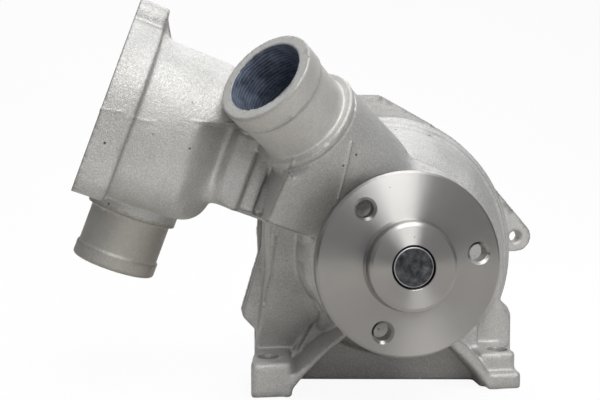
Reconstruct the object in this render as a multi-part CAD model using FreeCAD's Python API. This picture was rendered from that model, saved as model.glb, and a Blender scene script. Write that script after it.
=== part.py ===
"""Engine coolant pump: cast housing with thermostat chamber and two hose spigots, rear cover, shaft
with an integral ball bearing, face seal, impeller and three-hole pulley hub. Millimetres. The shaft
axis is the Y axis, the hub faces -Y, Z is up, and the origin is on the shaft axis at the rear
mounting face."""

import FreeCAD
import Part
import math
import os

# ---------------------------------------------------------------- driving dimensions
HUB_FACE_Y = -82.0        # front face of the pulley hub's disc
JOINT_Y = -8.0            # housing's rear joint face
GASKET_T = 0.8
REAR_Y = 0.0              # rear mounting face
BASE_Z = -62.4            # underside of the feet

SHAFT_R = 7.96
SHAFT_FRONT_Y = -88.3
SHAFT_REAR_Y = -8.8

HUB_R = 35.9
HUB_T = 7.0
HUB_PILOT_R = 17.2
HUB_BOSS_LEN = 6.5
HUB_BOLT_PCD = 55.0
HUB_BOLT_R = 3.4
HUB_BOLT_SINK = 1.1        # countersink at each hub hole's mouth
HUB_BOLT_FIRST_DEG = 8.5
HUB_BOLTS = 3

BEARING_R = 15.0
BEARING_BORE_R = 12.4
BEARING_FRONT_Y = -69.5
BEARING_REAR_Y = -35.5
BALL_R = 3.0
BALL_PITCH_R = 10.2
BALL_ROWS_Y = (-61.0, -44.0)
BALLS = 8
RACEWAY_R = 3.05
CAGE_OUTER_R = 11.4
CAGE_INNER_R = 9.0
POCKET_R = 3.12

DOME_R = 38.5             # round inlet chamber behind the hub
DOME_CENTRE = (1.0, 2.0)
DOME_FRONT_Y = -58.0
INLET_CAVITY_R = 33.0
INLET_CAVITY_Y = (-53.0, -31.0)
BEARING_BOSS_R = 19.5
BEARING_BOSS_Y = (-70.0, -27.0)
EYE_R = 23.0
WEEP_Y = -33.6            # drain hole that lets leaked coolant out below the bearing
WEEP_R = 1.8
VOLUTE_FRONT_Y = -27.0
WALL_FRONT_Y = -13.5      # front of the flat wall below and beside the scroll

VOLUTE_R_START = 50.5     # outer radius at the left, growing clockwise seen from the front
VOLUTE_GROWTH = 18.0
VOLUTE_SWEEP_DEG = 205.0

ARM_TILT_DEG = 20.5       # the thermostat arm rises to the left by this angle
ARM_AXIS_P = 16.4         # the arm axis passes this far above the shaft axis
CHAMBER_Y = -37.0
CHAMBER_R = 35.0
CHAMBER_END_S = -80.0
CHAMBER_YAW_DEG = 7.0     # the chamber and its flange also turn this far towards the front
FACET_PLAN = ((-106.0, -90.0), (-93.0, -72.0), (-77.0, -49.8), (-77.0, -90.0))  # (s, y) of the cut-back facet
FACET_TOP_Z = 53.8         # the facet ends at a level edge at this height
FLANGE_FACE_S = -132.0
FLANGE_T = 12.5
FLANGE_R = 37.7
FLANGE_BOLT_R = 39.6      # three cover screws on this radius
FLANGE_BOLT_DEG = (90.0, 223.0, 317.0)
FLANGE_LUG_R = 7.0
COVER_THREAD_R = 2.5
THERMOSTAT_SEAT_R = 32.0
THERMOSTAT_SEAT_DEPTH = 4.0
CHAMBER_BORE_R = 28.5
CHAMBER_BORE_END_S = -96.0
PASSAGE_R = 12.0           # water passage from the chamber to the inlet dome

LOWER_SPIGOT_S = -106.0
LOWER_SPIGOT_R = 16.5
LOWER_SPIGOT_BEAD_R = 17.2
LOWER_SPIGOT_ROOT_R = 18.4
LOWER_SPIGOT_BORE_R = 13.0
LOWER_SPIGOT_MOUTH_P = -44.0
LOWER_SPIGOT_BEAD_LEN = 6.0
LOWER_SPIGOT_COLLAR_P = -18.0

FRONT_SPIGOT_MOUTH = (-55.0, -81.5, 70.4)
FRONT_SPIGOT_DIR = (-0.614, -0.554, 0.563)
FRONT_SPIGOT_R = 18.7
FRONT_SPIGOT_BEAD_R = 19.5
FRONT_SPIGOT_BEAD_LEN = 9.0
FRONT_SPIGOT_BORE_R = 15.0
FRONT_SPIGOT_LEN = 26.5
NECK_R = 22.0

FOOT_TOP_Z = -47.0
FOOT_BOLT_Y = -30.5
FOOT_BOLT_X = (-49.3, 55.2)
FOOT_BOLT_R = 4.25

LUG_BOLT = (72.3, 1.5)    # right lug of the rear cover
TOP_BOLT = (-9.0, 61.5)   # top lug of the rear cover
LUG_BOLT_R = 2.6

PORT = (31.5, -29.0)      # coolant outlet in the rear cover
PORT_R = 11.0
PORT_GROOVE_R = (12.6, 15.4)
PORT_GROOVE_DEPTH = 1.6

SCREW_DEG = (168.0, 118.0, 62.0, 14.0)
SCREW_INSET = 7.4
SCREW_LOW = ((-47.5, -54.5), (54.0, -54.5))
SCREW_R = 2.5
SCREW_LEN = 17.5
SCREW_HEAD_R = 4.8
SCREW_HEAD_T = 2.6
SCREW_SOCKET_R = 1.75

IMPELLER_R = 32.0
IMPELLER_DISC_Y = (-10.8, -8.6)
IMPELLER_HUB_R = 13.0
IMPELLER_HUB_FRONT_Y = -16.2
VANE_FRONT_Y = -26.2
VANE_INNER_R = 18.0
VANE_CURVE_PITCH_R = 19.5  # the vanes' centres of curvature lie on this radius
VANES = 6

SEAL_WEB_Y = -31.0         # front of the seal cup
CARBON_BACK_Y = -23.9
SEAL_FACE_Y = -20.2        # where the carbon ring meets the mating ring
MATING_BORE_R = 8.8
MATING_BACK_Y = -17.2

V = FreeCAD.Vector
X_AXIS = V(1, 0, 0)
Y_AXIS = V(0, 1, 0)
Z_AXIS = V(0, 0, 1)


# ---------------------------------------------------------------- helpers
def along_y(radius, y0, y1, x=0.0, z=0.0):
    """Cylinder parallel to the shaft from y0 back to y1."""
    return Part.makeCylinder(radius, y1 - y0, V(x, y0, z), Y_AXIS)


def cone_y(start_radius, end_radius, y0, y1, x=0.0, z=0.0):
    """Cone or countersink parallel to the shaft from y0 back to y1."""
    return Part.makeCone(start_radius, end_radius, y1 - y0, V(x, y0, z), Y_AXIS)


def around(centre, radius, angle_deg):
    """Point (x, z) at an angle from +X towards +Z on a circle round a centre."""
    angle = math.radians(angle_deg)
    return centre[0] + radius * math.cos(angle), centre[1] + radius * math.sin(angle)


def extruded(corners, pull):
    """Polygon through the corners, pulled along a vector."""
    return Part.Face(Part.makePolygon(corners + corners[:1])).extrude(pull)


def ring_y(outer, inner, y0, y1):
    return along_y(outer, y0, y1).cut(along_y(inner, y0 - 1, y1 + 1))


def turned(profile):
    """Solid of revolution about the shaft axis from (radius, y) points."""
    points = [V(r, y, 0) for r, y in profile]
    face = Part.Face(Part.makePolygon(points + points[:1]))
    return face.revolve(V(0, 0, 0), Y_AXIS, 360)


def prism_y(points, y0, y1):
    """Polygon of (x, z) points pulled from y0 back to y1."""
    return extruded([V(x, y0, z) for x, z in points], V(0, y1 - y0, 0))


def fuse(shapes):
    shapes = list(shapes)
    whole = shapes[0].fuse(shapes[1:]) if len(shapes) > 1 else shapes[0]
    return whole.removeSplitter()


def add_each(shapes):
    """Joins shapes one at a time, which keeps the free-form scroll sound."""
    whole = shapes[0]
    for shape in shapes[1:]:
        whole = whole.fuse(shape)
    return whole


def cut_each(whole, tools):
    for tool in tools:
        whole = whole.cut(tool)
    return whole


def tangent_outline(circles):
    """Closed outline round anticlockwise circles (u, v, radius): arcs joined by their outer tangents."""
    count = len(circles)
    normals = []
    for i in range(count):
        (u1, v1, r1), (u2, v2, r2) = circles[i], circles[(i + 1) % count]
        length = math.hypot(u2 - u1, v2 - v1)
        du, dv = (u2 - u1) / length, (v2 - v1) / length
        lean = (r1 - r2) / length
        side = math.sqrt(1 - lean * lean)
        normals.append((lean * du + side * dv, lean * dv - side * du))
    pieces = []
    for i in range(count):
        u, v, r = circles[i]
        n_in, n_out = normals[i - 1], normals[i]
        a_in, a_out = math.atan2(n_in[1], n_in[0]), math.atan2(n_out[1], n_out[0])
        if a_out < a_in:
            a_out += 2 * math.pi
        mid = (a_in + a_out) / 2
        start = (u + r * math.cos(a_in), v + r * math.sin(a_in))
        middle = (u + r * math.cos(mid), v + r * math.sin(mid))
        end = (u + r * math.cos(a_out), v + r * math.sin(a_out))
        pieces.append((start, middle, end))
    return pieces


def outline_wire(pieces, place):
    """Wire from tangent_outline pieces; place turns (u, v) into a point."""
    edges = []
    for i, (start, middle, end) in enumerate(pieces):
        edges.append(Part.Arc(place(*start), place(*middle), place(*end)).toShape())
        following = pieces[(i + 1) % len(pieces)][0]
        if math.hypot(following[0] - end[0], following[1] - end[1]) > 1e-6:
            edges.append(Part.makeLine(place(*end), place(*following)))
    return Part.Wire(Part.__sortEdges__(edges))


def plate_y(circles, y0, y1):
    """Plate parallel to the rear face whose outline wraps (x, z, radius) circles."""
    wire = outline_wire(tangent_outline(circles), lambda u, v: V(u, y0, v))
    return Part.Face(wire).extrude(V(0, y1 - y0, 0))


def to_arm(shape):
    """Turns a shape built in the arm's own frame (X along the arm, Z across it) into place."""
    shape.rotate(V(0, 0, 0), Y_AXIS, ARM_TILT_DEG)
    return shape


def edges_on_plane(shape, axis, value):
    """Edges that lie wholly on the plane where coordinate axis (0, 1, 2) has this value."""
    found = []
    for edge in shape.Edges:
        box = edge.BoundBox
        low = (box.XMin, box.YMin, box.ZMin)[axis]
        high = (box.XMax, box.YMax, box.ZMax)[axis]
        if abs(low - value) < 1e-4 and abs(high - value) < 1e-4:
            found.append(edge)
    return found


def spigot_point(distance):
    """Point on the front spigot's axis, this far in from its mouth."""
    return V(*FRONT_SPIGOT_MOUTH) - V(*FRONT_SPIGOT_DIR) * distance


def along_spigot(radius, start, end, end_radius=None):
    """Cylinder or cone on the front spigot's axis between two distances from its mouth."""
    inward = V(*FRONT_SPIGOT_DIR) * -1
    if end_radius is None or abs(end_radius - radius) < 1e-9:
        return Part.makeCylinder(radius, end - start, spigot_point(start), inward)
    return Part.makeCone(radius, end_radius, end - start, spigot_point(start), inward)


# ---------------------------------------------------------------- volute
def volute_radius(angle_deg):
    """Outer radius of the scroll at an angle from +X towards +Z."""
    turn = (180.0 - angle_deg) % 360.0
    if turn <= VOLUTE_SWEEP_DEG:
        return VOLUTE_R_START + VOLUTE_GROWTH * turn / VOLUTE_SWEEP_DEG
    back = (turn - VOLUTE_SWEEP_DEG) / (360.0 - VOLUTE_SWEEP_DEG)
    return VOLUTE_R_START + VOLUTE_GROWTH * (0.5 + 0.5 * math.cos(math.pi * back)) ** 3


def volute_wire(y, inset):
    points = []
    for angle in range(0, 360, 10):
        x, z = around((0, 0), volute_radius(angle) - inset, angle)
        points.append(V(x, y, z))
    curve = Part.BSplineCurve()
    curve.interpolate(points, PeriodicFlag=True)
    return Part.Wire([curve.toShape()])


def volute_disc(y0, y1, inset):
    return Part.Face(volute_wire(y0, inset)).extrude(V(0, y1 - y0, 0))


def volute_solid(sections):
    """Smooth body through scroll outlines given as (y, inset) pairs."""
    return Part.makeLoft([volute_wire(y, inset) for y, inset in sections], True, False)


# ---------------------------------------------------------------- housing casting
BASE_OUTLINE = [(-47.0, 12.0), (-59.8, -31.2), (-59.4, -33.2), (-53.5, -39.5), (-53.5, BASE_Z),
                (68.6, BASE_Z), (68.4, -35.1), (67.0, -31.5), (60.0, -25.0), (55.0, 0.0)]
SCROLL_SECTIONS = [(JOINT_Y, 4.0), (-17.0, 4.4), (-23.0, 6.6), (-28.0, 10.8), (-31.5, 16.7), (-33.6, 24.0)]
SCROLL_LEDGES = [(-15.2, 0.0), (-18.2, 2.4)]     # (front face y, inset) of the two steps round the scroll
SCROLL_CAVITY = [(JOINT_Y + 1, 12.0), (-17.0, 12.2), (-22.0, 13.0), (VOLUTE_FRONT_Y, 15.5)]


def scroll_casting():
    bulge = volute_solid(SCROLL_SECTIONS)
    ledges = [volute_disc(front_y, JOINT_Y, inset) for front_y, inset in SCROLL_LEDGES]
    panel = prism_y(BASE_OUTLINE, WALL_FRONT_Y, JOINT_Y)
    return [bulge, panel] + ledges


def inlet_dome():
    x, z = DOME_CENTRE
    dome = cone_y(DOME_R, DOME_R + 1.5, DOME_FRONT_Y, JOINT_Y - 14, x, z)
    dome = dome.makeFillet(7.0, edges_on_plane(dome, 1, DOME_FRONT_Y))
    boss = cone_y(21.0, 24.0, BEARING_BOSS_Y[0], BEARING_BOSS_Y[0] + 14)
    return [dome, boss]


def across_arm(s):
    """Placer for outlines across the arm at station s: (u, v) are offsets from its axis along Y and up."""
    return lambda u, v: V(s, CHAMBER_Y + u, ARM_AXIS_P + v)


def flange_bolts():
    """Cover screw centres as (u, v) offsets from the chamber's axis."""
    return [around((0, 0), FLANGE_BOLT_R, angle) for angle in FLANGE_BOLT_DEG]


def yaw_chamber(shape):
    """Turns a shape about the lower spigot's axis so that the thermostat flange faces slightly forward."""
    shape.rotate(V(LOWER_SPIGOT_S, CHAMBER_Y, 0), Z_AXIS, CHAMBER_YAW_DEG)
    return shape


def facet_tool():
    """What is cut away in front of the sloping facet between the chamber and the clip boss."""
    tilt = math.radians(ARM_TILT_DEG)
    low_p, first_s, last_s = -60.0, FACET_PLAN[0][0], FACET_PLAN[-1][0]
    top_p = [(FACET_TOP_Z + s * math.sin(tilt)) / math.cos(tilt) for s in (first_s, last_s)]
    block = extruded([V(s, y, low_p) for s, y in FACET_PLAN], V(0, 0, 120.0))
    below_edge = [(first_s, low_p), (last_s, low_p), (last_s, top_p[1]), (first_s, top_p[0])]
    return block.common(extruded([V(s, -95.0, p) for s, p in below_edge], V(0, 95.0, 0)))


def chamber_casting():
    outline = tangent_outline([(0, 0, CHAMBER_R), (-18.5, -18.5, 14.0), (18.5, -18.5, 14.0)])
    length = CHAMBER_END_S - FLANGE_FACE_S - 2
    chamber = Part.Face(outline_wire(outline, across_arm(FLANGE_FACE_S + 2))).extrude(V(length, 0, 0))
    chamber = chamber.makeFillet(11.0, edges_on_plane(chamber, 0, CHAMBER_END_S))

    top, front, back = flange_bolts()
    plate = tangent_outline([(0, 0, FLANGE_R), front + (FLANGE_LUG_R,), back + (FLANGE_LUG_R,)])
    flange = Part.Face(outline_wire(plate, across_arm(FLANGE_FACE_S))).extrude(V(FLANGE_T, 0, 0))
    lug_foot = (0.0, 20.0, FLANGE_LUG_R)
    lug = tangent_outline([lug_foot, top + (FLANGE_LUG_R,)])
    lug = Part.Face(outline_wire(lug, across_arm(FLANGE_FACE_S))).extrude(V(FLANGE_T, 0, 0))
    top_p, foot_p = ARM_AXIS_P + FLANGE_BOLT_R + 3.0, ARM_AXIS_P + CHAMBER_R - 2.0
    back_s, half_width = FLANGE_FACE_S + FLANGE_T, 5.0
    corners = [(back_s - 1, top_p), (back_s, top_p), (back_s + 5.5, foot_p), (back_s - 1, foot_p)]
    corners = [V(s, CHAMBER_Y - half_width, p) for s, p in corners]
    gusset = extruded(corners, V(0, 2 * half_width, 0))
    chamber, flange, lug, gusset = [yaw_chamber(s) for s in (chamber, flange, lug, gusset)]

    return [chamber.cut(facet_tool()), flange, lug, gusset]


DUCT_LOW_P = -4.8          # underside of the duct between the chamber and the inlet dome
DUCT_FRONT_Y = -54.0
# plans in the arm's frame, as (s, y): clip boss, raised pad, the groove beside it, the web's root and
# the narrow lip along the duct's underside
BOSS_PLAN = [(-79.4, -46.0), (-79.4, -56.0), (-76.6, -59.0), (-68.3, -59.8), (-66.9, -58.6), (-66.3, -46.0)]
BOSS_TOP_P = 26.6
PAD_PLAN = [(-68.0, -50.0), (-68.0, -55.4), (-60.4, -55.4), (-60.4, -50.0)]
GROOVE_PLAN = [(-60.4, -51.2), (-60.4, -70.0), (-55.8, -70.0), (-55.8, -51.2)]
WEB_ROOT_PLAN = [(-55.8, -45.0), (-55.8, -61.0), (-20.0, -61.0), (-20.0, -45.0)]
LIP_PLAN = [(-68.0, -46.0), (-68.0, -57.6), (-40.0, -57.6), (-40.0, -46.0)]
PAD_LOW_P, PAD_TOP_P = -3.2, 26.0     # pad and groove stop at the lip


def duct_casting():
    """Square duct between the chamber and the inlet dome, with its clip boss, pad and groove."""
    width, depth, height, corner_r = 75.0, 38.0, 42.8, 7.0
    duct = Part.makeBox(width, depth, height, V(CHAMBER_END_S - 5.0, DUCT_FRONT_Y, DUCT_LOW_P))
    duct = duct.makeFillet(corner_r, [e for e in duct.Edges if e.BoundBox.XLength > width - 1])
    boss = extruded([V(s, y, DUCT_LOW_P) for s, y in BOSS_PLAN], V(0, 0, BOSS_TOP_P - DUCT_LOW_P))
    boss = boss.makeChamfer(1.8, edges_on_plane(boss, 2, BOSS_TOP_P)[1:5])
    lip = extruded([V(s, y, DUCT_LOW_P) for s, y in LIP_PLAN], V(0, 0, PAD_LOW_P - DUCT_LOW_P))
    rise = V(0, 0, PAD_TOP_P - PAD_LOW_P)
    pad, groove, web_root = [extruded([V(s, y, PAD_LOW_P) for s, y in plan], rise)
                             for plan in (PAD_PLAN, GROOVE_PLAN, WEB_ROOT_PLAN)]
    return [duct.cut(facet_tool()).cut(groove), boss, pad, web_root, lip]


def lower_spigot_casting():
    """Downward hose spigot below the chamber: root, tube and bead."""
    mouth, collar = LOWER_SPIGOT_MOUTH_P, LOWER_SPIGOT_COLLAR_P

    def up_from(radius, length, p):
        return Part.makeCylinder(radius, length, V(LOWER_SPIGOT_S, CHAMBER_Y, p), Z_AXIS)

    root = up_from(LOWER_SPIGOT_ROOT_R, 14.0, collar - 3.5)
    tube = up_from(LOWER_SPIGOT_R, collar - mouth, mouth + 0.5)
    bead = up_from(LOWER_SPIGOT_BEAD_R, LOWER_SPIGOT_BEAD_LEN, mouth)
    bead = bead.makeChamfer(0.8, edges_on_plane(bead, 2, mouth))
    return [root, tube, bead]


def arm_casting():
    """Thermostat arm, built level in its own frame and then tilted into place."""
    return [to_arm(s) for s in chamber_casting() + duct_casting() + lower_spigot_casting()]


def neck_casting():
    """Front hose spigot, its stop collar and the neck that joins it to the inlet dome."""
    bead = along_spigot(FRONT_SPIGOT_BEAD_R, 0.0, FRONT_SPIGOT_BEAD_LEN)
    bead = bead.makeChamfer(0.5, bead.Edges[0:3:2])
    tube = along_spigot(FRONT_SPIGOT_R, 4.0, FRONT_SPIGOT_LEN + 4)
    collar = along_spigot(NECK_R + 0.1, FRONT_SPIGOT_LEN - 1.0, FRONT_SPIGOT_LEN + 2.4)
    collar = collar.makeChamfer(0.8, collar.Edges[0:3:2])
    waist = along_spigot(NECK_R - 1.4, FRONT_SPIGOT_LEN + 1.5, FRONT_SPIGOT_LEN + 4.4)
    neck = along_spigot(NECK_R - 0.3, FRONT_SPIGOT_LEN + 3.4, 74.0, NECK_R + 2.0)
    return [bead, tube, collar, waist, neck]


SKIRT_REACH = 41.0         # the neck flares down past the arm's lower edge this far below its axis
SKIRT_OVERHANG = 12.0
SKIRT_PLAN = [(-60.0, -52.0), (-55.8, -68.0), (-55.8, -95.0), (-12.0, -95.0), (-12.0, -30.0),
              (-60.0, -30.0)]


def neck_skirt():
    """Flared web below the neck: its front runs smoothly from the stop collar to the arm's lower edge.
    It reaches forward under the collar, and stays clear of the hose's seat."""
    inward = (V(*FRONT_SPIGOT_DIR) * -1).normalize()
    tilt = math.radians(ARM_TILT_DEG)
    down = V(-math.sin(tilt), 0, -math.cos(tilt))
    side = (down - inward * down.dot(inward)).normalize()
    front = side.cross(inward)
    start = spigot_point(FRONT_SPIGOT_LEN - SKIRT_OVERHANG)
    outline = tangent_outline([(0.0, 0.0, NECK_R - 0.6), (SKIRT_REACH, 0.0, 3.0)])
    wire = outline_wire(outline, lambda u, v: start + side * u + front * v)
    flare = Part.Face(wire).extrude(inward * (SKIRT_OVERHANG + 45.0))
    seat = along_spigot(NECK_R + 3.6, FRONT_SPIGOT_LEN - SKIRT_OVERHANG - 1, FRONT_SPIGOT_LEN + 2.9)
    limit = to_arm(extruded([V(s, y, PAD_LOW_P) for s, y in SKIRT_PLAN], V(0, 0, 50.0)))
    return flare.cut(seat).common(limit)


LEAF = [(-49.5, 18.0), (-34.0, 18.0), (-37.2, -4.4), (-33.2, -15.3), (-26.3, -28.6),
        (-26.9, -32.5), (-34.8, -46.5), (-54.0, -47.2), (-51.8, -29.8), (-49.3, -11.3)]


def leaf_web():
    """Sloping web between the arm and the left foot: it leans back towards its lower end."""
    slope, level_y = 21.0 / 46.0, -38.0
    top_z, bottom_z, front_y = 30.0, -60.0, -90.0
    in_front = [(level_y - slope * top_z, top_z), (level_y - slope * bottom_z, bottom_z),
                (front_y, bottom_z), (front_y, top_z)]
    cutter = extruded([V(-80.0, y, z) for y, z in in_front], V(90.0, 0, 0))
    return prism_y(LEAF, -50.0, JOINT_Y).cut(cutter)


def front_edges(shape, y):
    """Upright edges of a block that start at its front face."""
    return [e for e in shape.Edges if e.BoundBox.YMin < y + 0.01 and e.BoundBox.YLength < 1]


LEFT_FOOT_PLAN = [(-58.0, -42.0), (-40.0, -42.0), (-38.0, JOINT_Y - 4), (-53.5, JOINT_Y - 4),
                  (-55.5, -25.0)]


def block_on_base(x0, x1, y0, y1, top_z):
    """Block on the base plane with rounded front corners."""
    block = Part.makeBox(x1 - x0, y1 - y0, top_z - BASE_Z, V(x0, y0, BASE_Z))
    return block.makeFillet(2.0, front_edges(block, y0))


def feet_casting():
    left = extruded([V(x, y, BASE_Z) for x, y in LEFT_FOOT_PLAN], V(0, 0, FOOT_TOP_Z - BASE_Z))
    left = left.makeFillet(2.5, front_edges(left, LEFT_FOOT_PLAN[0][1]))
    right_top = block_on_base(44.5, 61.0, -38.0, JOINT_Y, FOOT_TOP_Z)
    right_low = block_on_base(47.6, 62.0, -42.5, JOINT_Y, BASE_Z + 7.4)
    return [left, right_top, right_low]


SILL_PLAN = [(-42.0, -14.6), (47.8, -26.7), (47.8, JOINT_Y), (-42.0, JOINT_Y)]
SILL_TOP_Z = -38.0


def base_sill():
    """Low wall between the feet; its front swings forward towards the right foot."""
    return extruded([V(x, y, BASE_Z) for x, y in SILL_PLAN], V(0, 0, SILL_TOP_Z - BASE_Z))


STRUT_LEFT = [(-10.0, -28.0), (-18.1, -34.4), (-42.6, -55.3), (-43.0, BASE_Z), (-41.0, BASE_Z),
              (-39.4, -58.3), (-35.3, -53.5), (-25.5, -44.0), (-15.7, -36.2), (-9.0, -32.0)]
STRUT_RIGHT = [(20.0, -34.0), (26.0, -33.0), (37.0, -42.0), (43.0, -48.3), (48.5, -56.6),
               (52.0, BASE_Z), (47.3, BASE_Z), (41.5, -54.7), (35.4, -48.1)]
WEB_LEFT = [(-14.0, -24.0), (-26.0, -28.0), (-36.0, -46.0), (-43.0, -55.0), (-35.0, -52.0), (-14.0, -34.0)]
WEB_RIGHT = [(24.0, -36.0), (43.0, -50.0), (66.0, -50.0), (66.4, -35.5), (64.5, -31.5), (60.0, -25.0),
             (38.0, -20.0)]


def ribs_casting():
    """Struts from the dome to the feet, and the lower webs beside them."""
    back = JOINT_Y - 4
    return [prism_y(STRUT_LEFT, -42.0, back), prism_y(STRUT_RIGHT, -42.0, back),
            prism_y(WEB_LEFT, -20.0, back), prism_y(WEB_RIGHT, -18.0, back)]


def screw_places():
    """Cover screw centres (x, z): four round the scroll and two in the base corners."""
    round_scroll = [around((0, 0), volute_radius(angle) - SCREW_INSET, angle) for angle in SCREW_DEG]
    return round_scroll + list(SCREW_LOW)


def along_arm(radius, start_s, end_s):
    """Cylinder on the arm's axis in the arm's own frame."""
    return Part.makeCylinder(radius, end_s - start_s, V(start_s, CHAMBER_Y, ARM_AXIS_P), X_AXIS)


def housing_cavities():
    eye = along_y(EYE_R, INLET_CAVITY_Y[1] - 1, VOLUTE_FRONT_Y + 1)
    inlet = along_y(INLET_CAVITY_R, *INLET_CAVITY_Y, *DOME_CENTRE)
    seat = along_arm(THERMOSTAT_SEAT_R, FLANGE_FACE_S - 1, FLANGE_FACE_S + THERMOSTAT_SEAT_DEPTH)
    bore = along_arm(CHAMBER_BORE_R, FLANGE_FACE_S, CHAMBER_BORE_END_S)
    passage = along_arm(PASSAGE_R, CHAMBER_BORE_END_S - 2, -8.0)
    spigot_base = V(LOWER_SPIGOT_S, CHAMBER_Y, LOWER_SPIGOT_MOUTH_P - 1)
    spigot_bore = Part.makeCylinder(LOWER_SPIGOT_BORE_R, 44.0, spigot_base, Z_AXIS)
    cuts = [volute_solid(SCROLL_CAVITY), eye, inlet, to_arm(yaw_chamber(seat)), to_arm(yaw_chamber(bore))]
    cuts += [to_arm(passage), to_arm(spigot_bore)]
    cuts.append(along_spigot(FRONT_SPIGOT_BORE_R, -1.0, 66.0))
    return cuts


def housing_holes():
    """Bores, bolt holes and threads cut last, through the finished casting."""
    holes = [along_y(BEARING_R, BEARING_BOSS_Y[0] - 1, BEARING_BOSS_Y[1] + 1)]
    holes.append(Part.makeCylinder(WEEP_R, 45.0, V(0, WEEP_Y, 0), Z_AXIS * -1))
    for x in FOOT_BOLT_X:
        holes.append(Part.makeCylinder(FOOT_BOLT_R, 30.0, V(x, FOOT_BOLT_Y, BASE_Z - 1), Z_AXIS))
    for u, v in flange_bolts():
        thread = Part.makeCylinder(COVER_THREAD_R, 11.0, across_arm(FLANGE_FACE_S - 0.5)(u, v), X_AXIS)
        holes.append(to_arm(yaw_chamber(thread)))
    for x, z in screw_places():
        holes.append(along_y(SCREW_R, JOINT_Y - 11.0, JOINT_Y + 1, x, z))
    return holes


def pump_housing():
    body = add_each(scroll_casting() + inlet_dome() + arm_casting() + neck_casting() + [neck_skirt()]
                    + [leaf_web(), base_sill()] + feet_casting() + ribs_casting())
    body = cut_each(body, housing_cavities())
    bearing_tower = along_y(BEARING_BOSS_R, BEARING_BOSS_Y[0] + 5, BEARING_BOSS_Y[1])
    weep_web = Part.makeBox(9.0, 10.0, 20.0, V(-4.5, WEEP_Y - 5.0, -37.0))
    return cut_each(add_each([body, bearing_tower, weep_web]), housing_holes())


# ---------------------------------------------------------------- rear cover, gasket, screws
RIGHT_LUG = [(LUG_BOLT[0] + 0.6, LUG_BOLT[1], 7.0), (54.0, 21.6, 8.0), (50.0, 2.0, 8.0)]
TOP_LUG = [TOP_BOLT + (7.4,), (-28.0, 40.0, 8.0), (26.0, 48.5, 8.0), (3.0, 61.6, 7.4)]


def cover_outline(y0, y1, grow):
    scroll = volute_disc(y0, y1, -grow)
    right_lug = plate_y(RIGHT_LUG, y0, y1)
    top_lug = plate_y(TOP_LUG, y0, y1)
    base = prism_y(BASE_OUTLINE, y0, y1)
    return fuse([scroll, right_lug, top_lug, base])


def rear_cover():
    y0 = JOINT_Y + GASKET_T
    cover = cover_outline(y0, REAR_Y, 1.6)
    cuts = [along_y(PORT_R, y0 - 1, REAR_Y + 1, *PORT)]
    groove = along_y(PORT_GROOVE_R[1], REAR_Y - PORT_GROOVE_DEPTH, REAR_Y + 1, *PORT)
    groove = groove.cut(along_y(PORT_GROOVE_R[0], REAR_Y - 3, REAR_Y + 2, *PORT))
    cuts.append(groove)
    for x, z in (LUG_BOLT, TOP_BOLT):
        cuts.append(along_y(LUG_BOLT_R, y0 - 1, REAR_Y + 1, x, z))
        cuts.append(cone_y(LUG_BOLT_R + 1.0, LUG_BOLT_R, y0, y0 + 1.0, x, z))
    for x, z in screw_places():
        cuts.append(along_y(SCREW_R + 0.25, y0 - 1, REAR_Y + 1, x, z))
        cuts.append(cone_y(SCREW_R, SCREW_HEAD_R + 0.1, REAR_Y - SCREW_HEAD_T, REAR_Y, x, z))
    return cover.cut(Part.makeCompound(cuts))


def cover_gasket():
    y0, y1 = JOINT_Y, JOINT_Y + GASKET_T
    sheet = fuse([volute_disc(y0, y1, 0.0), prism_y(BASE_OUTLINE, y0, y1)])
    cuts = [volute_disc(y0 - 1, y1 + 1, 12.0)]
    for x, z in screw_places():
        cuts.append(along_y(SCREW_R + 0.3, y0 - 1, y1 + 1, x, z))
    return sheet.cut(Part.makeCompound(cuts))


def cover_screws():
    screws = []
    for x, z in screw_places():
        shank = along_y(SCREW_R - 0.02, REAR_Y - SCREW_LEN, REAR_Y - 1.0, x, z)
        head = cone_y(SCREW_R - 0.02, SCREW_HEAD_R, REAR_Y - SCREW_HEAD_T, REAR_Y - 0.1, x, z)
        socket = [around((x, z), SCREW_SOCKET_R, angle) for angle in range(0, 360, 60)]
        screws.append(fuse([shank, head]).cut(prism_y(socket, REAR_Y - 2.2, REAR_Y + 1)))
    return Part.makeCompound(screws)


def outlet_seal_ring():
    middle = (PORT_GROOVE_R[0] + PORT_GROOVE_R[1]) / 2
    return Part.makeTorus(middle, 0.78, V(PORT[0], REAR_Y - 0.8, PORT[1]), Y_AXIS)


# ---------------------------------------------------------------- rotor
def hub_flange():
    face, back = HUB_FACE_Y, HUB_FACE_Y + HUB_T
    nose = HUB_FACE_Y - HUB_BOSS_LEN
    hub = turned([
        (SHAFT_R, nose + 0.6), (SHAFT_R + 0.6, nose), (HUB_PILOT_R - 1.6, nose),
        (HUB_PILOT_R - 0.4, nose + 0.5), (HUB_PILOT_R, nose + 1.7), (HUB_PILOT_R, face - 1.4),
        (HUB_PILOT_R + 0.9, face), (HUB_R - 0.9, face), (HUB_R, face + 0.9), (HUB_R, back - 0.5),
        (HUB_R - 0.5, back), (16.0, back), (14.5, back + 1.5), (SHAFT_R, back + 1.5)])
    cuts = []
    for k in range(HUB_BOLTS):
        x, z = around((0, 0), HUB_BOLT_PCD / 2, HUB_BOLT_FIRST_DEG + 360.0 * k / HUB_BOLTS)
        cuts.append(along_y(HUB_BOLT_R, face - 1, back + 1, x, z))
        cuts.append(cone_y(HUB_BOLT_R + HUB_BOLT_SINK, HUB_BOLT_R, face, face + HUB_BOLT_SINK, x, z))
    return hub.cut(Part.makeCompound(cuts))


def with_raceways(solid):
    """Cuts the two ball grooves into the shaft or the bearing's outer ring."""
    grooves = [Part.makeTorus(BALL_PITCH_R, RACEWAY_R, V(0, y, 0), Y_AXIS) for y in BALL_ROWS_Y]
    return solid.cut(Part.makeCompound(grooves))


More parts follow.
